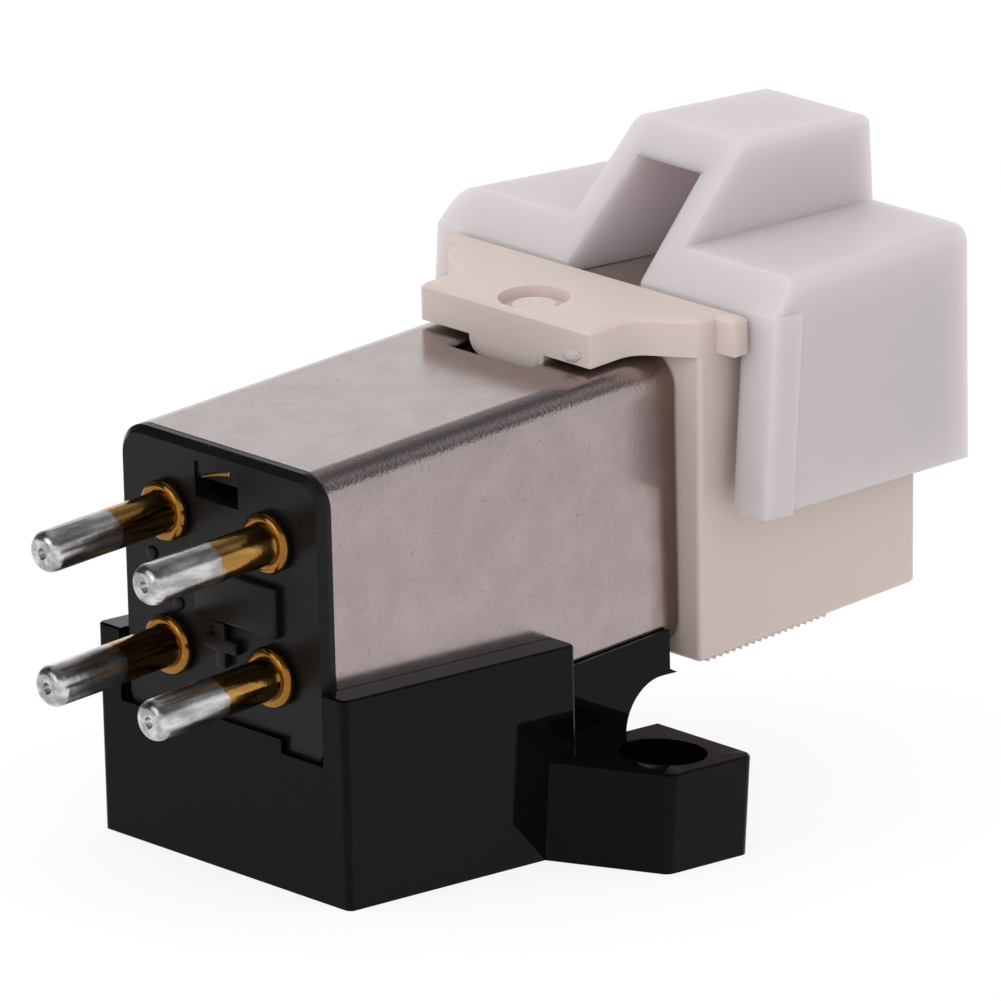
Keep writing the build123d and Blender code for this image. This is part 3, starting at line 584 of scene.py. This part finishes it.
def softened(node, name, rounding_mm, steps=3, sharp=28, reshape=None):
    """A copy of a CAD node with its edges rounded, and its points moved first where reshape says so."""
    source = frame["nodes"][node].data
    mesh = bpy.data.meshes.new(name)
    points = [vertex.co for vertex in source.vertices]
    mesh.from_pydata(points, [], [face.vertices for face in source.polygons])
    shape = bmesh.new()
    shape.from_mesh(mesh)
    bmesh.ops.remove_doubles(shape, verts=shape.verts, dist=MERGE_DISTANCE)
    bmesh.ops.dissolve_limit(shape, angle_limit=radians(FLAT_DEGREES), verts=shape.verts, edges=shape.edges)
    if reshape:
        for vertex in shape.verts:
            vertex.co = reshape(vertex.co)
    shape.to_mesh(mesh)
    shape.free()
    piece = bpy.data.objects.new(name, mesh)
    scene.collection.objects.link(piece)
    rounding = piece.modifiers.new("edge rounding", "BEVEL")
    rounding.width = rounding_mm / 1000
    rounding.segments = steps
    rounding.limit_method = "ANGLE"
    rounding.angle_limit = radians(sharp)
    rounding.use_clamp_overlap = True
    settle(piece)
    for face in piece.data.polygons:
        face.use_smooth = True
    piece.data.set_sharp_from_angle(angle=radians(CREASE_DEGREES))
    even = piece.modifiers.new("even shading", "WEIGHTED_NORMAL")
    even.keep_sharp = True
    settle(piece)
    piece.data.materials.clear()
    piece.data.materials.append(finishes[slot_of[node]])
    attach(piece, body_of[node])
    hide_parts(node)
    print(name, "faces", len(piece.data.polygons))


# The notch in the can's front edge, in mm: where it is, how far it is moved, and how near counts.
NOTCH_REAR = back_face + 10.06
NOTCH_HALF = 1.35
NOTCH_FORWARD = 0.62
NOTCH_WIDER = 0.25
NEAR = 0.02


def snug_notch(point):
    """Brings the notch's rear edge up to the tab, and its sides out to the tab's full width."""
    across = point.x * 1000
    along = point.dot(forward) * 1000
    if abs(abs(across) - NOTCH_HALF) < NEAR and along > NOTCH_REAR - NEAR:
        point = point + X_AXIS * (NOTCH_WIDER if across > 0 else -NOTCH_WIDER) / 1000
        if along < NOTCH_REAR + NEAR:
            point = point + forward * NOTCH_FORWARD / 1000
    return point


softened("stylus_guard", "guard_moulded", rounding_mm=0.09)
softened("stylus_holder", "holder_moulded", rounding_mm=0.07)
softened("mounting_base", "base_moulded", rounding_mm=0.06)
softened("terminal_plate", "plate_moulded", rounding_mm=0.11, steps=4)
softened("shield_can", "can_drawn", rounding_mm=0.07, reshape=snug_notch)

# %% [markdown]
# ## Terminal pins
# A pin is a turned part, so it is drawn as half a profile and spun round its axis. The free end
# is rounded and has the small pit that the lathe's cutter leaves at its centre. The root
# ends in a rounded bead against the plate.

# %% Turned pins
TURNED_CREASE_DEGREES = 50


def arc(centre_run, centre_out, radius, start, end, steps=8):
    """Points of an arc in a pin's profile, angles in degrees from the forward direction."""
    turn = [radians(start + (end - start) * step / steps) for step in range(steps + 1)]
    return [(centre_run + radius * cos(angle), centre_out + radius * sin(angle)) for angle in turn]


def turned(name, foot, profile, node, sides=56):
    """A profile of (run, out) pairs in mm, spun round the can's direction at a foot point."""
    shape = bmesh.new()
    rings = []
    for run, out in profile:
        middle = foot + forward * run / 1000
        if out < 1e-6:
            rings.append([shape.verts.new(middle)])
            continue
        ring = []
        for side in range(sides):
            angle = 2 * pi * side / sides
            ring.append(shape.verts.new(middle + (X_AXIS * cos(angle) + upward * sin(angle)) * out / 1000))
        rings.append(ring)
    for first, second in zip(rings, rings[1:]):
        for here in range(sides):
            after = (here + 1) % sides
            if len(first) == 1:
                shape.faces.new((first[0], second[after], second[here]))
            elif len(second) == 1:
                shape.faces.new((first[here], first[after], second[0]))
            else:
                shape.faces.new((first[here], first[after], second[after], second[here]))
    bmesh.ops.recalc_face_normals(shape, faces=shape.faces)
    mesh = bpy.data.meshes.new(name)
    shape.to_mesh(mesh)
    shape.free()
    for face in mesh.polygons:
        face.use_smooth = True
    mesh.set_sharp_from_angle(angle=radians(TURNED_CREASE_DEGREES))
    mesh.materials.append(finishes[slot_of[node]])
    piece = bpy.data.objects.new(name, mesh)
    scene.collection.objects.link(piece)
    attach(piece, body_of[node])
    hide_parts(node)


# Runs and radii in mm. A run is counted forward from the plate's back face.
FREE_END = -4.93
PLATE_DEPTH = 1.6
PIN_TAIL = 2.2
SEAT_RADIUS = 0.36
TAIL_RADIUS = 0.25
tip_pit = [(FREE_END + 0.22, 0.0), (FREE_END + 0.19, 0.06), (FREE_END + 0.12, 0.115), (FREE_END + 0.05, 0.15)]
pit_rim = arc(FREE_END + 0.05, 0.20, 0.05, 270, 180, 4)
tip_round = arc(FREE_END + 0.32, 0.29, 0.32, 180, 90)
shank = [(-3.4, 0.607), (-2.4, 0.61), (-1.2, 0.605), (-0.62, 0.61), (-0.46, 0.625), (-0.38, 0.65)]
bead = arc(-0.19, 0.70, 0.20, 195, 0, 16)
seat = [(0.01, SEAT_RADIUS), (PLATE_DEPTH, SEAT_RADIUS)]
tail = [(PLATE_DEPTH, TAIL_RADIUS), (PIN_TAIL, TAIL_RADIUS), (PIN_TAIL, 0.0)]
pin_profile = tip_pit + pit_rim + tip_round + shank + bead + seat + tail
for end, foot in zip(pin_ends, feet):
    node = end["name"].removesuffix("_end")
    turned(node.replace("terminal_pin", "pin_turned"), foot, pin_profile, node)
print("pins", len(feet), "points in the profile", len(pin_profile))

# %% [markdown]
# ## Marks on the terminal plate
# Between the pins stands a low pad with a plus beside it, the usual sign for the live side of a
# channel, and the mould's ejector has left two small dots. A lip half closes the slot above. All
# come out of the mould with soft corners. A flat outline is drawn on the plate's face, given
# some height and rounded, and its foot sinks into the plate so that no gap shows.

# %% Raised marks
RAISED_CREASE_DEGREES = 50


def raised(name, outline, low, high, rounding_mm, body, slot):
    """An outline in mm on the plate's face, made into a low pad with rounded edges."""
    shape = bmesh.new()
    foot = [shape.verts.new(on_plate(x, h, low)) for x, h in outline]
    top = [shape.verts.new(on_plate(x, h, high)) for x, h in outline]
    shape.faces.new(foot)
    shape.faces.new(top)
    for here in range(len(outline)):
        after = (here + 1) % len(outline)
        shape.faces.new((foot[here], foot[after], top[after], top[here]))
    bmesh.ops.recalc_face_normals(shape, faces=shape.faces)
    mesh = bpy.data.meshes.new(name)
    shape.to_mesh(mesh)
    shape.free()
    piece = bpy.data.objects.new(name, mesh)
    scene.collection.objects.link(piece)
    rounding = piece.modifiers.new("edge rounding", "BEVEL")
    rounding.width = rounding_mm / 1000
    rounding.segments = 3
    settle(piece)
    for face in piece.data.polygons:
        face.use_smooth = True
    piece.data.set_sharp_from_angle(angle=radians(RAISED_CREASE_DEGREES))
    piece.data.materials.clear()
    piece.data.materials.append(finishes[slot])
    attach(piece, body)
    return piece


# Places and sizes in mm from the middle of the four pins.
SUNK = -0.06
PLUS_X = 0.08
PLUS_H = -1.50
PLUS_REACH = 0.68
PLUS_ARM = 0.19
quarter = [(PLUS_ARM, PLUS_ARM), (PLUS_ARM, PLUS_REACH), (-PLUS_ARM, PLUS_REACH)]
plus_outline = []
for turn in range(4):
    for x, h in quarter:
        for quarter_turn in range(turn):
            x, h = -h, x
        plus_outline.append((PLUS_X + x, PLUS_H + h))
pad_outline = [(-0.9, -0.82), (2.35, -0.82), (2.35, 0.70), (-0.9, 0.70)]
marks = [
    raised("polarity_mark", plus_outline, SUNK, 0.26, 0.06, "generator", "satin_black_moulding"),
    raised("plate_pad", pad_outline, SUNK, 0.24, 0.07, "generator", "satin_black_moulding"),
]
for name, x, h in (("ejector_dot_high", -2.79, 0.52), ("ejector_dot_low", -1.76, -0.76)):
    dot_outline = arc(x, h, 0.2, 0, 342, 19)
    marks.append(raised(name, dot_outline, SUNK, 0.1, 0.07, "generator", "satin_black_moulding"))
SLOT_LEFT = -0.95
SLOT_RIGHT = 0.75
SLOT_TOP = 3.685
LIP_FOOT = 3.24
lip_outline = [(SLOT_LEFT, LIP_FOOT), (SLOT_RIGHT, LIP_FOOT), (SLOT_RIGHT, SLOT_TOP), (SLOT_LEFT, SLOT_TOP)]
marks.append(raised("slot_lip", lip_outline, -0.145, -0.07, 0.02, "generator", "satin_black_moulding"))
print("raised marks", [mark.name for mark in marks])

# %% [markdown]
# ## Bent end of the earth strip
# The strip that earths the can comes out over the slot's lip, and its end was pressed down askew.
# Only a sliver of it shows. A ribbon bent along a curve shows that better than a straight block:
# its left side hangs down to the lip's foot, its right side hardly at all, and the sheet gets its
# thickness last.

# %% Bent strip
STRIP_LEFT = -0.75
STRIP_RIGHT = 0.42
STRIP_HIGH = 3.60
STRIP_FALL = 0.36
STRIP_STEPS = 12
SHEET = 0.05
# Pairs in mm: how far out of the plate, and how far down.
bend = [(-0.13, -0.10), (-0.10, -0.06), (-0.06, -0.02), (-0.04, 0.02),
        (-0.05, 0.06), (-0.09, 0.09), (-0.13, 0.11)]
ribbon = bmesh.new()
rows = []
for step in range(STRIP_STEPS + 1):
    across = step / STRIP_STEPS
    x = STRIP_LEFT + (STRIP_RIGHT - STRIP_LEFT) * across
    level = STRIP_HIGH - STRIP_FALL * (1 - across) ** 1.3
    width = 0.25 + 0.75 * across
    rows.append([ribbon.verts.new(on_plate(x, level - drop * width, out)) for out, drop in bend])
for first, second in zip(rows, rows[1:]):
    for place in range(len(bend) - 1):
        ribbon.faces.new((first[place], first[place + 1], second[place + 1], second[place]))
mesh = bpy.data.meshes.new("strip_end")
ribbon.to_mesh(mesh)
ribbon.free()
strip_end = bpy.data.objects.new("strip_end", mesh)
scene.collection.objects.link(strip_end)
sheet = strip_end.modifiers.new("sheet", "SOLIDIFY")
sheet.thickness = SHEET / 1000
sheet.offset = 0
soft = strip_end.modifiers.new("smooth bend", "SUBSURF")
soft.levels = 2
soft.render_levels = 2
settle(strip_end)
for face in strip_end.data.polygons:
    face.use_smooth = True
strip_end.data.materials.clear()
strip_end.data.materials.append(finishes["brass_strip"])
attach(strip_end, "generator")
print("strip end faces", len(strip_end.data.polygons))

# %% [markdown]
# ## Tab under the tongue
# A round-cornered tab on the tongue drops into the notch of the can and keeps the holder straight.
# It reaches well below the can's top, so no gap shows under it. The same low pad that made the
# plate's marks makes it: an outline seen from behind, given its thickness.

# %% Tab
TAB_HALF = 1.5
TAB_CORNER = 0.55
TAB_TOP = 4.45
TAB_CORNER_H = 4.30
TAB_BACK = -11.47
TAB_FRONT = -12.1
tab_outline = [(-TAB_HALF, TAB_TOP)] + arc(TAB_CORNER - TAB_HALF, TAB_CORNER_H, TAB_CORNER, 180, 270)
tab_outline += arc(TAB_HALF - TAB_CORNER, TAB_CORNER_H, TAB_CORNER, 270, 360) + [(TAB_HALF, TAB_TOP)]
raised("tongue_tab", tab_outline, TAB_FRONT, TAB_BACK, 0.04, "stylus", "ivory_moulding")
print("tab outline points", len(tab_outline))

# %% [markdown]
# ## Gate scar
# Plastic enters the mould at a gate, and the holder still shows where it was broken off: a small
# rough lump on the back of its tongue. A ball with many faces is pressed flat and roughened by
# noise, and most of it stays buried in the tongue.

# %% Gate scar
SCAR_X = 2.66
SCAR_H = 4.62
TONGUE_BACK = -11.46
SCAR_WIDE = 0.33
SCAR_TALL = 0.20
SCAR_THICK = 0.055
SCAR_LEAN = 0.08
scar_shape = bmesh.new()
bmesh.ops.create_icosphere(scar_shape, subdivisions=4, radius=1.0)
for vertex in scar_shape.verts:
    x, h, out = vertex.co
    lumps = noise.noise(Vector((3 * x, 3 * h, 3 * out))) * 0.28
    grit = noise.noise(Vector((8 * x, 8 * h, 8 * out))) * 0.12
    grow = 1.0 + (lumps + grit)
    scar_across = SCAR_X + SCAR_WIDE * x * grow
    scar_up = SCAR_H + SCAR_TALL * h * grow + SCAR_LEAN * x
    vertex.co = on_plate(scar_across, scar_up, TONGUE_BACK + SCAR_THICK * out * grow)
bmesh.ops.recalc_face_normals(scar_shape, faces=scar_shape.faces)
mesh = bpy.data.meshes.new("gate_scar")
scar_shape.to_mesh(mesh)
scar_shape.free()
for face in mesh.polygons:
    face.use_smooth = True
mesh.materials.append(finishes["ivory_moulding"])
gate_scar = bpy.data.objects.new("gate_scar", mesh)
scene.collection.objects.link(gate_scar)
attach(gate_scar, "stylus")
print("gate scar faces", len(mesh.polygons))
